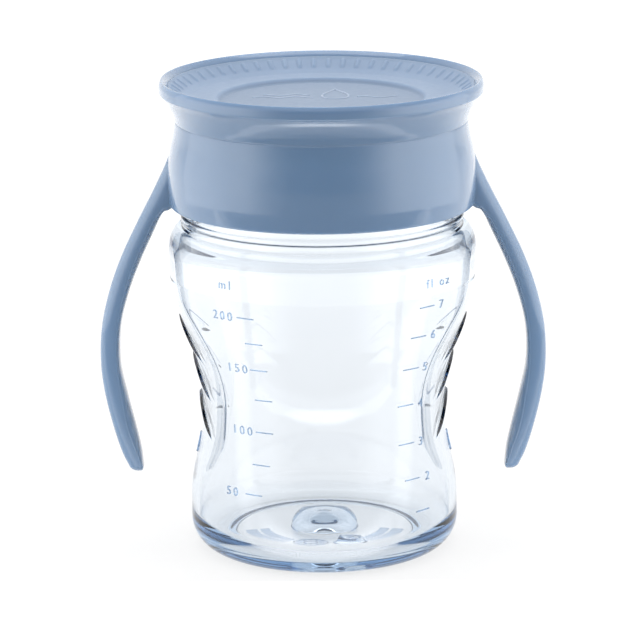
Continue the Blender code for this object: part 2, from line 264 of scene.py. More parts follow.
def outline(points, spacing=0.4):
    """Dense points along a line whose corners are rounded.

    Each point is (radius, height, cut): the cut is how far from the corner its
    rounding starts, at most half of the shorter side.
    """
    corners = [np.array(point[:2], float) for point in points]
    dense = [corners[0]]
    for index in range(1, len(points) - 1):
        before, corner, after = corners[index - 1:index + 2]
        reach_in, reach_out = np.linalg.norm(before - corner), np.linalg.norm(after - corner)
        cut = min(points[index][2], reach_in / 2.0, reach_out / 2.0)
        start = corner + (before - corner) / reach_in * cut
        end = corner + (after - corner) / reach_out * cut
        dense.append(start)
        if cut > 0.0:
            steps = max(4, int(2.0 * cut / spacing))
            for step in range(1, steps + 1):
                u = step / steps
                dense.append((1 - u) ** 2 * start + 2 * u * (1 - u) * corner + u * u * end)
    dense.append(corners[-1])
    filled = [dense[0]]
    for point in dense[1:]:
        gap = np.linalg.norm(point - filled[-1])
        if gap < 1e-6:
            continue
        steps = max(1, int(round(gap / spacing)))
        origin = filled[-1]
        for step in range(1, steps + 1):
            filled.append(origin + (point - origin) * step / steps)
    return np.array(filled)


def smooth_curve(points, count):
    """Catmull-Rom curve through the points, as an array of count samples."""
    points = np.array(points, float)
    samples = []
    for step in range(count):
        scaled = step / (count - 1) * (len(points) - 1)
        index = min(int(scaled), len(points) - 2)
        t = scaled - index
        before, start = points[max(index - 1, 0)], points[index]
        end, after = points[index + 1], points[min(index + 2, len(points) - 1)]
        samples.append(0.5 * (2 * start + (end - before) * t
                              + (2 * before - 5 * start + 4 * end - after) * t ** 2
                              + (3 * start - before - 3 * end + after) * t ** 3))
    return np.array(samples)


def mesh_object(name, verts, faces, material, smooth=True):
    """A mesh object in metres from points in millimetres."""
    mesh = bpy.data.meshes.new(name)
    mesh.from_pydata((np.asarray(verts) * MM).tolist(), [], faces)
    mesh.update()
    if smooth:
        mesh.shade_smooth()
    mesh.materials.append(material)
    thing = bpy.data.objects.new(name, mesh)
    bpy.context.collection.objects.link(thing)
    return thing


def skin(name, rings, material, poles=None):
    """Skin a stack of closed rings of points: two poles close its ends, or it closes on itself."""
    rows, columns = rings.shape[:2]
    verts = rings.reshape(-1, 3)
    index = np.arange(rows * columns).reshape(rows, columns)
    following = np.roll(index, -1, axis=1)
    if poles is None:
        low, high = index, np.roll(index, -1, axis=0)
        low_next, high_next = following, np.roll(following, -1, axis=0)
    else:
        low, high = index[:-1], index[1:]
        low_next, high_next = following[:-1], following[1:]
    quads = np.stack([low, low_next, high_next, high], axis=-1).reshape(-1, 4).tolist()
    faces = [tuple(quad) for quad in quads]
    if poles is not None:
        first, last = len(verts), len(verts) + 1
        verts = np.vstack([verts, *poles])
        faces += [(first, int(following[0, c]), int(index[0, c])) for c in range(columns)]
        faces += [(last, int(index[-1, c]), int(following[-1, c])) for c in range(columns)]
    return mesh_object(name, verts, faces, material)


def grip_columns(count):
    """Angles of a full turn, closer together at the grips than at the front and the back."""
    even = np.linspace(0.0, math.tau, 4001)
    density = 1.0 + COLUMN_CROWDING * smooth_step((np.abs(np.cos(even)) - 0.5) / 0.15)
    reach = np.concatenate([[0.0], np.cumsum((density[1:] + density[:-1]) / 2.0)])
    return np.interp(np.arange(count) / count * reach[-1], reach, even)


def spun(profile, columns=AROUND, angle=None):
    """Rings of points from a profile of (radius, height): their angles, radii and heights."""
    if angle is None:
        angle = np.arange(columns) * math.tau / columns
    columns = len(angle)
    radius = np.repeat(profile[:, :1], columns, axis=1)
    height = np.repeat(profile[:, 1:2], columns, axis=1)
    return np.broadcast_to(angle, radius.shape), radius, height


def rings_from(angle, radius, height):
    return np.stack([radius * np.cos(angle), radius * np.sin(angle), height], axis=-1)


def helix_ridge(angle, height, start_z):
    """Height of the screw thread's ridge over its cylinder, from 0 to 1."""
    ridge = np.zeros_like(height)
    for turn in range(int(THREAD_TURNS) + 1):
        run = (angle % math.tau) / math.tau + turn
        off = np.abs(height - (start_z + THREAD_PITCH * run))
        flank = np.clip((1.0 - off) / 0.55, 0.0, 1.0)
        ends = np.clip(np.minimum(run, THREAD_TURNS - run) / 0.08, 0.0, 1.0)
        ridge = np.maximum(ridge, flank * ends)
    return ridge


# ---------------------------------------------------------------- tumbler

def wall_radius(z):
    rise = np.clip((z - LOWER_TOP_Z) / (UPPER_Z - LOWER_TOP_Z), 0.0, 1.0)
    return LOWER_R + (UPPER_R - LOWER_R) * smooth_step(rise ** 1.75)


def grip_depth_x(z):
    rise = np.clip((z - GRIP_Z) / GRIP_RISE, 0.0, 1.0)
    above = GRIP_X + (UPPER_R - GRIP_X) * smooth_step(rise ** GRIP_EASE)
    below = GRIP_X + (LOWER_R - GRIP_X) * smooth_step((GRIP_Z - z) / GRIP_FALL)
    return np.where(z >= GRIP_Z, above, below)


def pressed_radius(full, angle, z):
    across = np.maximum(np.sin(angle) ** 2 / GRIP_BOW, 1e-6)
    along = np.abs(np.cos(angle))
    grip = (np.sqrt(along ** 2 + 2.0 * across * grip_depth_x(z)) - along) / across
    gap = grip - full
    return (grip + full - np.sqrt(gap * gap + GRIP_EDGE ** 2)) / 2.0


def press_amount(angle, z):
    """How far the grip recess moves the tumbler's wall inwards."""
    full = wall_radius(z)
    ease = 1.0 - smooth_step((z - UPPER_Z) / (SHOULDER_Z - UPPER_Z))
    return (full - pressed_radius(full, angle, z)) * ease


def ridge_height(angle, radius, z):
    """Arched, leaf-shaped ridges that stand proud of the grip recesses."""
    across = np.abs(radius * np.sin(angle)) / RIDGE_HALF_SPAN
    total = np.zeros_like(z)
    for top in RIDGE_TOPS_Z:
        upper = top - RIDGE_DROP * across ** 1.35
        lower = top - RIDGE_DEPTH - (RIDGE_DROP - RIDGE_DEPTH) * across ** 2
        span = np.maximum(upper - lower, 0.05)
        t = (upper - z) / span
        shape = smooth_step(t / 0.10) * (1.0 - 0.6 * t) * smooth_step((1.0 - t) / 0.3)
        fade = smooth_step((1.0 - across) / 0.30)
        total = np.maximum(total, np.where(across < 1.0, shape * fade, 0.0))
    return RIDGE_HEIGHT * total


def wall_point(angle, z, out=0.0):
    """Point on the tumbler's outer wall, ridges left out, moved out by a distance."""
    angle, z = np.float64(angle), np.float64(z)
    radius = float(wall_radius(z) - press_amount(angle, z)) + out
    return Vector((radius * math.cos(angle), radius * math.sin(angle), z))


def gate_bump(x, y):
    """Shape, from 0 to 1, of the small lens-like bump over the moulding gate."""
    reach = np.hypot(x - BUMP_CENTRE[0], y - BUMP_CENTRE[1]) / BUMP_R
    return smooth_step((1.0 - reach) / 0.45)


def make_tumbler(material):
    middle = outline([(0.3, 4.4, 0), (3.6, 4.4, 1.8), (5.6, 3.2, 1.4), (6.8, FOOT_RECESS, 0.5),
                      (7.8, FOOT_RECESS, 0)], 0.3)
    reach = np.arange(7.8, 21.4, 0.14)[1:]
    flat = np.stack([reach, np.full_like(reach, FOOT_RECESS)], axis=1)
    edge = outline([(21.4, FOOT_RECESS, 0), (22.4, FOOT_RECESS, 1.0), (FOOT_INNER_R, 0.0, 0.6),
                    (FOOT_OUTER_R, 0.0, 0)], 0.35)
    foot = np.vstack([middle, flat, edge])
    turn = np.linspace(-math.pi / 2, 0, 26)[1:]
    heel = np.stack([FOOT_OUTER_R + (LOWER_R - FOOT_OUTER_R) * np.cos(turn),
                     HEEL_HEIGHT + HEEL_HEIGHT * np.sin(turn)], axis=1)
    levels = np.linspace(HEEL_HEIGHT, SHOULDER_Z, 300)[1:]
    wall = np.stack([wall_radius(levels), levels], axis=1)
    turn = np.linspace(0, math.pi / 2, 22)[1:]
    shoulder = np.stack([NECK_RING_R - 0.3 + (UPPER_R - NECK_RING_R + 0.3) * np.cos(turn),
                         SHOULDER_Z + (NECK_Z - SHOULDER_Z) * np.sin(turn)], axis=1)
    stepped_r = NECK_RING_R - NECK_STEP
    bead_r = NECK_RING_R - 0.2
    neck = outline([(NECK_RING_R - 0.3, NECK_Z, 0), (stepped_r, NECK_Z + 0.7, 0.3),
                    (stepped_r, 84.0, 0.3), (bead_r, 84.5, 0.3), (bead_r, 85.4, 0.3),
                    (stepped_r, 85.9, 0.3), (stepped_r, 89.0, 0.4), (NECK_R, 90.0, 0.4),
                    (NECK_R, RIM_Z, 0.5), (NECK_BORE_R, RIM_Z, 0.4),
                    (NECK_BORE_R, NECK_Z - 1.0, 2.0),
                    (UPPER_R - WALL - 0.6, SHOULDER_Z + 1.0, 2.0),
                    (UPPER_R - WALL, UPPER_Z, 0)], 0.35)
    levels = np.linspace(UPPER_Z, FLOOR_Z + CORNER_R, 170)[1:]
    inner = np.stack([wall_radius(levels) - WALL, levels], axis=1)
    turn = np.linspace(0, -math.pi / 2, 20)[1:]
    flat_r = FOOT_OUTER_R - CORNER_INSET
    corner = np.stack([flat_r + (LOWER_R - WALL - FOOT_OUTER_R + CORNER_INSET) * np.cos(turn),
                       FLOOR_Z + CORNER_R + CORNER_R * np.sin(turn)], axis=1)
    turn = np.linspace(0.0, math.pi / 2, 18)
    bell = np.stack([DOME_TOP_R + (DOME_R - DOME_TOP_R) * np.cos(turn),
                     FLOOR_Z + 0.3 + (DOME_Z - FLOOR_Z - 0.3) * np.sin(turn)], axis=1)
    floor = np.vstack([outline([(flat_r, FLOOR_Z, 0), (DOME_R + 0.1, FLOOR_Z, 0.3),
                                (DOME_R, FLOOR_Z + 0.3, 0)], 0.3), bell[1:],
                       outline([(DOME_TOP_R, DOME_Z, 0), (0.3, DOME_Z, 0)], 0.3)[1:]])
    outer = np.vstack([foot, heel, wall, shoulder])
    neck_top = len(outer)
    neck_rows = int(np.argmin(np.abs(neck[:, 1] - RIM_Z) + (neck[:, 0] < NECK_R - 0.1) * 9.0))
    inside = np.vstack([inner, corner])
    profile = np.vstack([outer, neck[1:], inside, floor[1:]])
    angle, radius, height = (np.array(part) for part in spun(profile, angle=grip_columns(AROUND)))
    press = press_amount(angle, height)
    side = np.zeros(len(profile), bool)
    side[len(foot):len(foot) + len(heel) + len(wall)] = True
    start = len(outer) + len(neck) - 1
    side[start:start + len(inside)] = True
    heel_ease = smooth_step((height - 2.0) / (HEEL_HEIGHT + 4.0))
    radius = radius - np.where(side[:, None], press * heel_ease, 0.0)
    outside = np.zeros(len(profile), bool)
    outside[len(foot):len(outer)] = True
    radius = radius + np.where(outside[:, None], ridge_height(angle, radius, height), 0.0)
    threaded = np.zeros(len(profile), bool)
    threaded[neck_top:neck_top + neck_rows] = True
    ridge = helix_ridge(angle, height, THREAD_START_Z)
    on_neck = threaded[:, None] & (radius > NECK_R - 0.05)
    radius = radius + np.where(on_neck, ridge * THREAD_HEIGHT, 0.0)
    rings = rings_from(angle, radius, height)
    for rows, lift in ((slice(0, len(foot)), BUMP_DEPTH), (slice(-len(floor), None), BUMP_RISE)):
        rings[rows, :, 2] += lift * gate_bump(rings[rows, :, 0], rings[rows, :, 1])
    poles = ((0.0, 0.0, profile[0][1]), (0.0, 0.0, profile[-1][1]))
    cup = skin("tumbler", rings, material, poles)
    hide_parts("cup_body")
    return cup


# ---------------------------------------------------------------- raised marks

def stroke(path, half_width, height, closed=False):
    """A raised line along a path of (across, up) points: its (across, up, out) points and faces."""
    path = np.array(path, float)
    if closed:
        run = np.roll(path, -1, axis=0) - np.roll(path, 1, axis=0)
    else:
        run = np.gradient(path, axis=0)
    run = run / np.linalg.norm(run, axis=1, keepdims=True)
    aside = np.stack([-run[:, 1], run[:, 0]], axis=1)
    section = np.array([(-1.0, 0.0), (-0.75, 0.7), (0.0, 1.0), (0.75, 0.7), (1.0, 0.0)])
    sides = len(section)
    points = [(*(path[row] + aside[row] * half_width * wide), height * tall)
              for row in range(len(path)) for wide, tall in section]
    faces = []
    for row in range(len(path) if closed else len(path) - 1):
        low, high = row * sides, (row + 1) % len(path) * sides
        for side in range(sides):
            following = (side + 1) % sides
            faces.append((low + side, high + side, high + following, low + following))
    if not closed:
        faces.append(tuple(range(sides)))
        faces.append(tuple(range((len(path) - 1) * sides, len(path) * sides))[::-1])
    return points, faces


def lettering(text, height, thickness):
    """A word in relief, centred: its points as (across, up, out) and its faces."""
    curve = bpy.data.curves.new("lettering", "FONT")
    curve.body = text
    curve.size = height / LETTER_BODY
    curve.extrude = thickness / 2.0
    curve.offset = LETTER_THINNING
    curve.resolution_u = 5
    curve.space_character = LETTER_SPACING
    curve.align_x = "CENTER"
    writer = bpy.data.objects.new("lettering", curve)
    bpy.context.collection.objects.link(writer)
    bpy.context.view_layer.update()
    shown = writer.evaluated_get(bpy.context.evaluated_depsgraph_get())
    mesh = bpy.data.meshes.new_from_object(shown)
    bpy.data.objects.remove(writer, do_unlink=True)
    bpy.data.curves.remove(curve)
    solid = bmesh.new()
    solid.from_mesh(mesh)
    bpy.data.meshes.remove(mesh)
    bmesh.ops.remove_doubles(solid, verts=solid.verts, dist=1e-4)
    points = [(vert.co.x, vert.co.y - height / 2.0, vert.co.z + thickness / 2.0)
              for vert in solid.verts]
    faces = [tuple(vert.index for vert in face.verts) for face in solid.faces]
    solid.free()
    return points, faces


def droplet(height, count=40):
    """Closed outline of a water drop, centred on its middle."""
    turn = np.arange(count) * math.tau / count
    return np.stack([0.36 * height * np.sin(turn) * np.abs(np.sin(turn / 2.0)) ** 1.4,
                     0.5 * height * np.cos(turn)], axis=1)


def join_marks(name, shapes, place, material):
    """One object out of several shapes (points, faces, origin), put in place by a function."""
    verts, faces = [], []
    for points, shape_faces, origin in shapes:
        offset = len(verts)
        verts += [place(origin, *point) for point in points]
        faces += [tuple(index + offset for index in face) for face in shape_faces]
    thing = mesh_object(name, verts, faces, material, smooth=False)
    tidy = bmesh.new()
    tidy.from_mesh(thing.data)
    bmesh.ops.recalc_face_normals(tidy, faces=tidy.faces)
    tidy.to_mesh(thing.data)
    tidy.free()
    return thing


def on_wall(origin, across, up, out):
    """Place on the tumbler's outside: origin is the (angle, height) of the mark's middle."""
    angle, z = origin[0], origin[1] + up
    radius = math.hypot(*wall_point(origin[0], z)[:2])
    return wall_point(angle + across / radius, z, MARK_GAP + out)


def front_angle(x, z):
    """Angle at which the front of the tumbler passes a given X."""
    angle = -math.acos(x / float(wall_radius(np.float64(z))))
    for _ in range(8):
        angle = -math.acos(max(-1.0, min(1.0, x / math.hypot(*wall_point(angle, z)[:2]))))
    return angle


def make_marks(material):
    """Millilitre and ounce scales on the front, and a water drop in each grip recess."""
    shapes = []
    line = [(step * LINE_LENGTH / 14.0 - LINE_LENGTH / 2.0, 0.0) for step in range(15)]
    for text, z, line_x, text_x in ML_SCALE + OZ_SCALE:
        place = (front_angle(line_x, z), z)
        shapes.append((*stroke(line, MARK_HALF_WIDTH, MARK_HEIGHT), place))
        if text:
            place = (front_angle(text_x, z), z)
            shapes.append((*lettering(text, LETTER_HEIGHT, MARK_HEIGHT), place))
    for text, z, text_x in UNIT_NAMES:
        place = (front_angle(text_x, z), z)
        shapes.append((*lettering(text, LETTER_HEIGHT, MARK_HEIGHT), place))
    for angle in (0.0, math.pi):
        for scale in DROPLET_SCALES:
            drop = droplet(DROPLET_HEIGHT * scale)
            shapes.append((*stroke(drop, MARK_HALF_WIDTH, MARK_HEIGHT, True), (angle, DROPLET_Z)))
    return join_marks("scale_marks", shapes, on_wall, material)


def on_floor(origin, across, up, out):
    return (origin[0] + across, origin[1] + up, FLOOR_Z + MARK_GAP + out)


def make_floor_marks(material):
    """Date dial and rings of short dashes in relief on the tumbler's floor."""
    turn = np.arange(64) * math.tau / 64
    circle = np.stack([np.cos(turn), np.sin(turn)], axis=1)
    shapes = [(*stroke(circle * radius, MARK_HALF_WIDTH, MARK_HEIGHT, True), DIAL_CENTRE)
              for radius in (DIAL_R, DIAL_R * DIAL_HUB)]
    for spoke in range(DIAL_SPOKES):
        angle = math.tau * spoke / DIAL_SPOKES
        way = np.array([math.cos(angle), math.sin(angle)])
        line = [way * DIAL_R * reach for reach in np.linspace(*DIAL_SPOKE_REACH, 6)]
        shapes.append((*stroke(line, FINE_HALF_WIDTH, MARK_HEIGHT), DIAL_CENTRE))
    for radius, half in DASH_RINGS:
        for start, end in (DASH_TURNS[:2], DASH_TURNS[2:]):
            for angle in np.radians(np.linspace(start, end, DASHES)):
                way = np.array([math.cos(angle), math.sin(angle)])
                line = [way * (radius + reach) for reach in np.linspace(-half, half, 6)]
                shapes.append((*stroke(line, FINE_HALF_WIDTH, MARK_HEIGHT), (0.0, 0.0)))
    return join_marks("floor_marks", shapes, on_floor, material)


def on_disc(origin, across, up, out):
    return (origin[0] + across, origin[1] + up, VALVE_FLOOR_Z + MOTIF_GAP + out)


def make_motif(material):
    """Waves and a water drop in low relief on the drinking disc."""
    drop = droplet(MOTIF_DROPLET)
    shapes = [(*stroke(drop, MOTIF_HALF_WIDTH, MOTIF_HEIGHT, True), MOTIF_PLACE)]
    for start, end, y in WAVE_LINES:
        reach = np.linspace(start, end, 60)
        path = np.stack([reach, WAVE_DEPTH * np.sin(reach * math.tau / WAVE_LENGTH)], axis=1)
        shapes.append((*stroke(path, MOTIF_HALF_WIDTH, MOTIF_HEIGHT), (0.0, y)))
    return join_marks("disc_motif", shapes, on_disc, material)


# ---------------------------------------------------------------- collar and handles

def make_collar(material):
    outside = [(SKIRT_BORE_R + 0.6, COLLAR_BOTTOM_Z, 0), (COLLAR_R - 0.3, COLLAR_BOTTOM_Z, 0.7),
               (COLLAR_R, 91.5, 2.5), (COLLAR_R, 97.5, 4.0), (37.75, 101.6, 4.0),
               (36.85, 105.3, 4.0), (CREASE_R, CREASE_Z - CREASE_HALF, 0.1),
               (CREASE_R - CREASE_DEPTH, CREASE_Z, 0.1), (CREASE_R, CREASE_Z + CREASE_HALF, 0.1),
               (36.75, 110.5, 1.2), (37.65, 112.5, 1.2), (38.85, 114.5, 1.0), (39.8, 115.6, 0.4),
               (LIP_R, 116.1, 0.3), (LIP_R, 118.1, 1.0), (39.7, LIP_TOP_Z, 0.3),
               (39.3, LIP_TOP_Z, 0.3)]
    inside = [(VALVE_R + 0.2, 118.1, 0.5), (36.4, 114.4, 1.5), (35.0, 111.5, 1.5),
              (34.3, 109.6, 0.8), (34.2, LEDGE_TOP_Z, 0.3), (LEDGE_BORE_R, LEDGE_TOP_Z, 0.3),
              (LEDGE_BORE_R, LEDGE_Z, 0.3), (SKIRT_BORE_R, LEDGE_Z, 0.5),
              (SKIRT_BORE_R, COLLAR_BOTTOM_Z, 0.4), (SKIRT_BORE_R + 0.6, COLLAR_BOTTOM_Z, 0)]
    profile = outline(outside + inside, 0.25)[:-1]
    angle, radius, height = (np.array(part) for part in spun(profile, COLLAR_COLUMNS))
    bore = np.abs(radius - SKIRT_BORE_R) < 0.02
    ridge = helix_ridge(angle, height, THREAD_START_Z - THREAD_COLLAR_DROP)
    radius = radius - np.where(bore, ridge * THREAD_HEIGHT, 0.0)
    collar = skin("screw_collar", rings_from(angle, radius, height), material)
    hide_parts("drinking_collar")
    return collar


def even_steps(line, count):
    """The line's points moved to equal distances along it."""
    reach = np.concatenate([[0.0], np.cumsum(np.linalg.norm(np.diff(line, axis=0), axis=1))])
    place = np.linspace(0.0, reach[-1], count)
    return np.stack([np.interp(place, reach, values) for values in line.T], axis=1)


def handle_outline(depth, half_width, seam):
    """Section of a handle as (out from the inner edge, across).

    Its crown and its belly meet in a fine parting ridge.
    """
    halves = []
    for reach, power, count, side in (
            (depth - seam, HANDLE_CROWN_POWER, HANDLE_CROWN_COUNT, 1.0),
            (-seam, HANDLE_BELLY_POWER, HANDLE_BELLY_COUNT, -1.0)):
        turn = np.linspace(0.0, math.pi, 400)
        across = np.sign(np.cos(turn)) * np.abs(np.cos(turn)) ** (2.0 / power)
        half = np.stack([seam + reach * np.sin(turn) ** (2.0 / power),
                         -half_width * side * across], axis=1)
        halves.append(even_steps(half, count))
    plan = np.vstack([halves[0], halves[1][1:-1]])
    scale = min(1.0, half_width / 3.0)
    for index, side in ((0, -1.0), (len(halves[0]) - 1, 1.0)):
        plan[index, 1] += side * HANDLE_RIDGE * scale
        after, before = plan[(index + 1) % len(plan)], plan[index - 1]
        for neighbour in (after, before):
            toward = neighbour - plan[index]
            length = max(np.linalg.norm(toward), 1e-6)
            neighbour[:] = plan[index] + toward * min(1.0, HANDLE_RIDGE_FOOT * scale / length)
            neighbour[1] -= side * HANDLE_RIDGE * scale
    return plan


def make_handles(material):
    inner = smooth_curve(HANDLE_INNER, HANDLE_STATIONS)
    outer = smooth_curve(HANDLE_OUTER, HANDLE_STATIONS)
    seam = smooth_curve([(value, 0.0) for value in HANDLE_SEAM], HANDLE_STATIONS)[:, 0]
    position = np.linspace(0.0, 1.0, HANDLE_STATIONS)
    width = HANDLE_ROOT_WIDTH + (HANDLE_TIP_WIDTH - HANDLE_ROOT_WIDTH) * smooth_step(position * 1.1)
    sections = list(zip(inner, outer, width / 2.0, seam))
    middle = (inner[-1] + outer[-1]) / 2.0
    run = inner[-1] - inner[-2] + outer[-1] - outer[-2]
    run = run / np.linalg.norm(run)
    for turn in np.linspace(0.0, math.pi / 2.0, 16)[1:-1]:
        centre = middle + run * HANDLE_TIP_DROP * math.sin(turn)
        shrink = math.cos(turn)
        sections.append((centre + (inner[-1] - middle) * shrink,
                         centre + (outer[-1] - middle) * shrink,
                         width[-1] / 2.0 * shrink, seam[-1] * shrink))
    rings = []
    for low, high, half_width, offset in sections:
        depth = np.linalg.norm(high - low)
        plan = handle_outline(depth, half_width, offset)
        place = low + (high - low) / depth * plan[:, :1]
        rings.append(np.stack([place[:, 0], plan[:, 1], place[:, 1]], axis=1))
    rings = np.array(rings)
    tip = middle + run * HANDLE_TIP_DROP
    made = []
    for side, name in ((1.0, "right"), (-1.0, "left")):
        turned = rings * np.array([side, side, 1.0])
        ends = (turned[0].mean(axis=0), np.array([tip[0] * side, 0.0, tip[1]]))
        grip = skin("grip_" + name, turned[:, ::-1], material, ends)
        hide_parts("handle_" + name)
        made.append(grip)
    return made


# ---------------------------------------------------------------- valve

def make_valve(material):
    ledge_under = VALVE_LEDGE_Z - VALVE_THICK
    floor_under = VALVE_FLOOR_Z - VALVE_THICK
    profile = outline([(0.3, VALVE_FLOOR_Z, 0), (VALVE_FLOOR_R, VALVE_FLOOR_Z, 0.5),
                       (VALVE_FLOOR_R + 0.9, VALVE_LEDGE_Z, 0.4), (32.6, VALVE_LEDGE_Z, 0.8),
                       (34.6, 115.4, 0.6), (37.3, 117.3, 0.5), (VALVE_R + 0.05, 117.95, 0.3),
                       (VALVE_R, 117.3, 0.2), (35.3, 114.5, 0.5), (33.2, ledge_under, 0.5),
                       (VALVE_FLOOR_R + 0.4, ledge_under, 0.4),
                       (VALVE_FLOOR_R - 0.6, floor_under, 0.4),
                       (POST_R + 2.6, floor_under, 0.3), (POST_R + 2.4, POST_BOTTOM_Z, 0.3),
                       (POST_R + 0.3, POST_BOTTOM_Z, 0.3), (POST_R + 0.3, floor_under, 0.2),
                       (0.3, floor_under, 0)], 0.22)
    angle, radius, height = (np.array(part) for part in spun(profile, VALVE_COLUMNS))
    upper = np.zeros(len(profile), bool)
    upper[:int(np.argmax(profile[:, 0]))] = True
    phase = (angle * VALVE_RIBS / math.tau) % 1.0 - 0.5
    across = np.abs(phase) * math.tau / VALVE_RIBS * radius
    rib = smooth_step((RIB_HALF_WIDTH - across) / RIB_FLANK)
    rib = rib * smooth_step((radius - RIB_FROM_R) / 0.5) * smooth_step((RIB_TO_R - radius) / 0.4)
    height = height + np.where(upper[:, None], rib * RIB_HEIGHT, 0.0)
    rings = rings_from(angle, radius, height)
    poles = ((0.0, 0.0, profile[-1][1]), (0.0, 0.0, profile[0][1]))
    disc = skin("valve_disc", rings[::-1], material, poles)
    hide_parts("valve_membrane")
    return disc


# ---------------------------------------------------------------- materials

def start_material(name):
    material = bpy.data.materials.new(name)
    material.use_nodes = True
    tree = material.node_tree
    shader = tree.nodes["Principled BSDF"]
    place = tree.nodes.new("ShaderNodeTexCoord").outputs["Object"]
    return material, tree, shader, place


def noise(tree, place, scale, detail=3.0):
    node = tree.nodes.new("ShaderNodeTexNoise")
    node.inputs["Scale"].default_value = scale
    node.inputs["Detail"].default_value = detail
    tree.links.new(place, node.inputs["Vector"])
    return node.outputs["Fac"]


def spread(tree, source, low, high):
    node = tree.nodes.new("ShaderNodeMapRange")
    node.inputs["From Min"].default_value = 0.3
    node.inputs["From Max"].default_value = 0.7
    node.inputs["To Min"].default_value = low
    node.inputs["To Max"].default_value = high
    tree.links.new(source, node.inputs["Value"])
    return node.outputs["Result"]


def two_tone(tree, source, first, second):
    ramp = tree.nodes.new("ShaderNodeValToRGB")
    ramp.color_ramp.elements[0].position = 0.3
    ramp.color_ramp.elements[0].color = (*first, 1.0)
    ramp.color_ramp.elements[1].position = 0.7
    ramp.color_ramp.elements[1].color = (*second, 1.0)
    tree.links.new(source, ramp.inputs["Fac"])
    return ramp.outputs["Color"]


def add_bump(tree, shader, height, strength, distance):
    bump = tree.nodes.new("ShaderNodeBump")
    bump.inputs["Strength"].default_value = strength
    bump.inputs["Distance"].default_value = distance
    tree.links.new(height, bump.inputs["Height"])
    tree.links.new(bump.outputs["Normal"], shader.inputs["Normal"])


def clear_plastic(name, tone, density):
    """Clear copolyester, tinted through its volume: the higher the density, the deeper."""
    material, tree, shader, place = start_material(name)
    paler = [min(1.0, value * 1.012) for value in tone]
    tree.links.new(two_tone(tree, noise(tree, place, 22.0), tone, paler),
                   shader.inputs["Base Color"])
    shader.inputs["Transmission Weight"].default_value = 1.0
    shader.inputs["IOR"].default_value = 1.50
    tree.links.new(spread(tree, noise(tree, place, 300.0), 0.0, 0.02), shader.inputs["Roughness"])
    add_bump(tree, shader, noise(tree, place, 45.0, 1.0), 0.06, 0.0006)
    absorb = tree.nodes.new("ShaderNodeVolumeAbsorption")
    absorb.inputs["Color"].default_value = CLEAR_TINT
    absorb.inputs["Density"].default_value = density
    tree.links.new(absorb.outputs["Volume"], tree.nodes["Material Output"].inputs["Volume"])
    return material


def moulded_plastic(name):
    """Glossy blue polypropylene: faint flow marks, a fine skin texture and a clear gloss."""
    material, tree, shader, place = start_material(name)
    tree.links.new(two_tone(tree, noise(tree, place, 30.0), *BLUE_TONES),
                   shader.inputs["Base Color"])
    tree.links.new(spread(tree, noise(tree, place, 420.0), 0.20, 0.27), shader.inputs["Roughness"])
    shader.inputs["IOR"].default_value = 1.49
    shader.inputs["Coat Weight"].default_value = 1.0
    shader.inputs["Coat Roughness"].default_value = 0.04
    shader.inputs["Coat IOR"].default_value = 1.5
    shader.inputs["Subsurface Weight"].default_value = 0.35
    shader.inputs["Subsurface Radius"].default_value = (0.6, 0.85, 1.0)
    shader.inputs["Subsurface Scale"].default_value = 0.004
    add_bump(tree, shader, noise(tree, place, 700.0), 0.05, 0.0002)
    return material


def silicone(name, tones):
    """Soft translucent rubber, matt and faintly dusty, with painted shade darkening it where low.
    """
    material, tree, shader, place = start_material(name)
    split = tree.nodes.new("ShaderNodeSeparateXYZ")
    tree.links.new(place, split.inputs["Vector"])
    # painted shade: the base colour is darkened on the disc's sunk floor
    shade = ramp_between(tree, split.outputs["Z"], SILICONE_PAINTED_SHADE_Z, (SILICONE_PAINTED_SHADE, 1.0))
    painted_shade_scale = tree.nodes.new("ShaderNodeVectorMath")
    painted_shade_scale.operation = "SCALE"
    tree.links.new(two_tone(tree, noise(tree, place, 60.0), *tones), painted_shade_scale.inputs[0])
    tree.links.new(shade, painted_shade_scale.inputs["Scale"])
    tree.links.new(painted_shade_scale.outputs["Vector"], shader.inputs["Base Color"])
    tree.links.new(spread(tree, noise(tree, place, 700.0), *SILICONE_ROUGHNESS),
                   shader.inputs["Roughness"])
    shader.inputs["IOR"].default_value = 1.41
    shader.inputs["Subsurface Weight"].default_value = 0.25
    shader.inputs["Subsurface Radius"].default_value = (0.7, 0.9, 1.0)
    shader.inputs["Subsurface Scale"].default_value = 0.002
    shader.inputs["Sheen Weight"].default_value = 0.15
    shader.inputs["Sheen Roughness"].default_value = 0.5
    add_bump(tree, shader, noise(tree, place, 1800.0), 0.15, 0.0002)
    return material


# ---------------------------------------------------------------- studio

def ramp_between(tree, source, limits, values):
    """Smooth step of a value, from values[0] at limits[0] to values[1] at limits[1]."""
    node = tree.nodes.new("ShaderNodeMapRange")
    node.interpolation_type = "SMOOTHSTEP"
    node.inputs["From Min"].default_value, node.inputs["From Max"].default_value = limits
    node.inputs["To Min"].default_value, node.inputs["To Max"].default_value = values
    tree.links.new(source, node.inputs["Value"])
    return node.outputs["Result"]


def maths(tree, operation, *sources):
    node = tree.nodes.new("ShaderNodeMath")
    node.operation = operation
    for socket, source in zip(node.inputs, sources):
        if isinstance(source, (int, float)):
            socket.default_value = source
        else:
            tree.links.new(source, socket)
    return node.outputs["Value"]


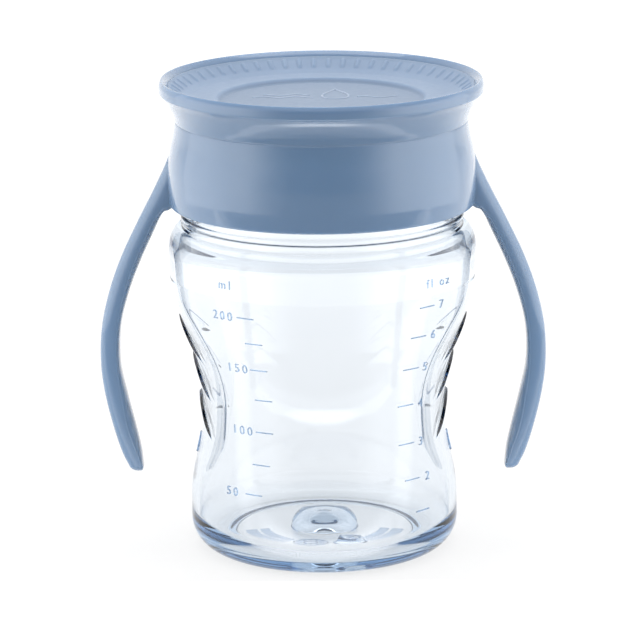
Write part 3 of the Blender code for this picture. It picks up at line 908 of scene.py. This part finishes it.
def make_floor():
    """A pale glowing floor, dim towards the camera, with a bright strip in front of the cup."""
    bpy.ops.mesh.primitive_circle_add(vertices=96, radius=FLOOR_R, fill_type="NGON",
                                      location=(0, 0, -FLOOR_DROP))
    floor = bpy.context.object
    floor.name = "studio_floor"
    material, tree, shader, place = start_material("pale_floor")
    shader.inputs["Roughness"].default_value = 0.9
    shader.inputs["Specular IOR Level"].default_value = 0.0
    split = tree.nodes.new("ShaderNodeSeparateXYZ")
    tree.links.new(place, split.inputs["Vector"])
    length = tree.nodes.new("ShaderNodeVectorMath")
    length.operation = "LENGTH"
    tree.links.new(place, length.inputs[0])
    level = ramp_between(tree, length.outputs["Value"], GLOW_NEAR_R, (GLOW_NEAR, GLOW_FAR))
    dim = ramp_between(tree, split.outputs["Y"], GLOW_DIM_Y, (GLOW_DIM, 1.0))
    rise = ramp_between(tree, split.outputs["Y"], GLOW_STRIP_Y[:2], (0.0, GLOW_STRIP))
    fall = ramp_between(tree, split.outputs["Y"], GLOW_STRIP_Y[2:], (1.0, 0.0))
    sides = ramp_between(tree, maths(tree, "ABSOLUTE", split.outputs["X"]), GLOW_STRIP_X,
                         (1.0, GLOW_STRIP_SIDES))
    strip = maths(tree, "MULTIPLY", maths(tree, "MULTIPLY", rise, fall), sides)
    glow = maths(tree, "ADD", maths(tree, "MULTIPLY", level, dim), strip)
    tree.links.new(maths(tree, "MULTIPLY", dim, FLOOR_TONE), shader.inputs["Base Color"])
    shader.inputs["Emission Color"].default_value = (1.0, 1.0, 1.0, 1.0)
    tree.links.new(glow, shader.inputs["Emission Strength"])
    floor.data.materials.append(material)


def make_world():
    """A white room whose near side, behind the camera, is a dim blue-grey."""
    world = bpy.data.worlds.new("studio")
    bpy.context.scene.world = world
    world.use_nodes = True
    tree = world.node_tree
    split = tree.nodes.new("ShaderNodeSeparateXYZ")
    tree.links.new(tree.nodes.new("ShaderNodeTexCoord").outputs["Generated"],
                   split.inputs["Vector"])
    mix = tree.nodes.new("ShaderNodeMix")
    mix.data_type = "RGBA"
    colours = [socket for socket in mix.inputs if socket.type == "RGBA"]
    colours[0].default_value = ROOM_DIM
    colours[1].default_value = ROOM_BRIGHT
    lifted = maths(tree, "MULTIPLY", maths(tree, "MAXIMUM", split.outputs["Z"], 0.0), ROOM_LIFT)
    turn = maths(tree, "ADD", split.outputs["Y"], lifted)
    tree.links.new(ramp_between(tree, turn, ROOM_TURN, (0.0, 1.0)), mix.inputs[0])
    tree.links.new([socket for socket in mix.outputs if socket.type == "RGBA"][0],
                   tree.nodes["Background"].inputs["Color"])


def make_panel(side):
    """A curved softbox beside the cup that fades out towards the camera."""
    start, end = math.radians(PANEL_FROM), math.radians(PANEL_TO)
    verts, faces = [], []
    for step in range(PANEL_STEPS + 1):
        angle = start + (end - start) * step / PANEL_STEPS
        for z in (PANEL_LOW_Z, PANEL_HIGH_Z):
            verts.append((side * PANEL_R * math.sin(angle), -PANEL_R * math.cos(angle), z))
    for step in range(PANEL_STEPS):
        low = 2 * step
        quad = (low, low + 1, low + 3, low + 2)
        faces.append(quad if side > 0 else quad[::-1])
    mesh = bpy.data.meshes.new("softbox")
    mesh.from_pydata(verts, [], faces)
    panel = bpy.data.objects.new("softbox", mesh)
    bpy.context.collection.objects.link(panel)
    material = bpy.data.materials.new("softbox")
    material.use_nodes = True
    tree = material.node_tree
    tree.nodes.remove(tree.nodes["Principled BSDF"])
    split = tree.nodes.new("ShaderNodeSeparateXYZ")
    tree.links.new(tree.nodes.new("ShaderNodeTexCoord").outputs["Object"], split.inputs["Vector"])
    from_y, full_y, fade_y, to_y = [-PANEL_R * math.cos(math.radians(angle))
                                    for angle in (PANEL_FROM, PANEL_FULL, PANEL_FADE, PANEL_TO)]
    cover = ramp_between(tree, split.outputs["Y"], (from_y, full_y), (0.0, 1.0))
    surface = tree.nodes.new("ShaderNodeNewGeometry")
    front = maths(tree, "SUBTRACT", 1.0, surface.outputs["Backfacing"])
    light = tree.nodes.new("ShaderNodeEmission")
    strength = ramp_between(tree, split.outputs["Y"], (fade_y, to_y),
                            (PANEL_GLOW, PANEL_GLOW * PANEL_END_LEVEL))
    tree.links.new(strength, light.inputs["Strength"])
    mix = tree.nodes.new("ShaderNodeMixShader")
    tree.links.new(maths(tree, "MULTIPLY", cover, front), mix.inputs["Fac"])
    tree.links.new(tree.nodes.new("ShaderNodeBsdfTransparent").outputs["BSDF"], mix.inputs[1])
    tree.links.new(light.outputs["Emission"], mix.inputs[2])
    tree.links.new(mix.outputs["Shader"], tree.nodes["Material Output"].inputs["Surface"])
    mesh.materials.append(material)
    panel.visible_camera = False
    panel.visible_shadow = False


def make_lights():
    for side in (-1.0, 1.0):
        make_panel(side)
    data = bpy.data.lights.new("overhead", "AREA")
    data.shape = "RECTANGLE"
    data.size, data.size_y = TOP_SIZE
    data.energy = TOP_WATTS
    light = bpy.data.objects.new("overhead", data)
    light.location = TOP_PLACE
    facing = Vector(TOP_TARGET) - Vector(TOP_PLACE)
    light.rotation_euler = facing.to_track_quat("-Z", "Y").to_euler()
    light.visible_camera = False
    bpy.context.collection.objects.link(light)


def make_camera():
    data = bpy.data.cameras.new("camera")
    data.lens = CAMERA_LENS
    data.sensor_width = 36.0
    data.shift_x = CAMERA_SHIFT_X
    data.clip_start = 0.05
    data.clip_end = 20.0
    camera = bpy.data.objects.new("camera", data)
    pitch = math.radians(CAMERA_PITCH)
    back = Vector((0.0, -math.cos(pitch), math.sin(pitch)))
    camera.location = Vector((0, 0, CAMERA_TARGET_Z)) + back * CAMERA_DISTANCE
    facing = (-back).to_track_quat("-Z", "Y").to_matrix().to_4x4()
    camera.rotation_euler = (facing @ Matrix.Rotation(math.radians(CAMERA_ROLL), 4, "Z")).to_euler()
    bpy.context.collection.objects.link(camera)
    bpy.context.scene.camera = camera


# ---------------------------------------------------------------- assembly

CLEAR = clear_plastic("clear_copolyester", CLEAR_TONE, CLEAR_DENSITY)
MARKED = clear_plastic("raised_marks", MARK_PAINTED_SHADE_TONE, MARK_PAINTED_SHADE_DENSITY)
BLUE = moulded_plastic("blue_polypropylene")
SILICONE = silicone("valve_silicone", SILICONE_TONES)
PAINTED_LIGHT_SILICONE = silicone("motif_silicone", MOTIF_PAINTED_LIGHT_TONES)

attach(make_tumbler(CLEAR), "cup")
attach(make_collar(BLUE), "collar")
for grip in make_handles(BLUE):
    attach(grip, "collar")
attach(make_marks(MARKED), "cup")
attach(make_floor_marks(MARKED), "cup")
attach(make_valve(SILICONE), "valve")
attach(make_motif(PAINTED_LIGHT_SILICONE), "valve")
for node, material in (("valve_carrier", BLUE), ("rim_gasket", SILICONE)):
    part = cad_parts[node]
    for slot in part.material_slots:
        slot.material = material

make_floor()
make_world()
make_lights()
make_camera()
paths = bpy.context.scene.cycles
paths.max_bounces = ALL_BOUNCES
paths.glossy_bounces = MIRROR_BOUNCES
paths.transmission_bounces = ALL_BOUNCES
view = bpy.context.scene.view_settings
view.view_transform = "Standard"
view.look = "None"
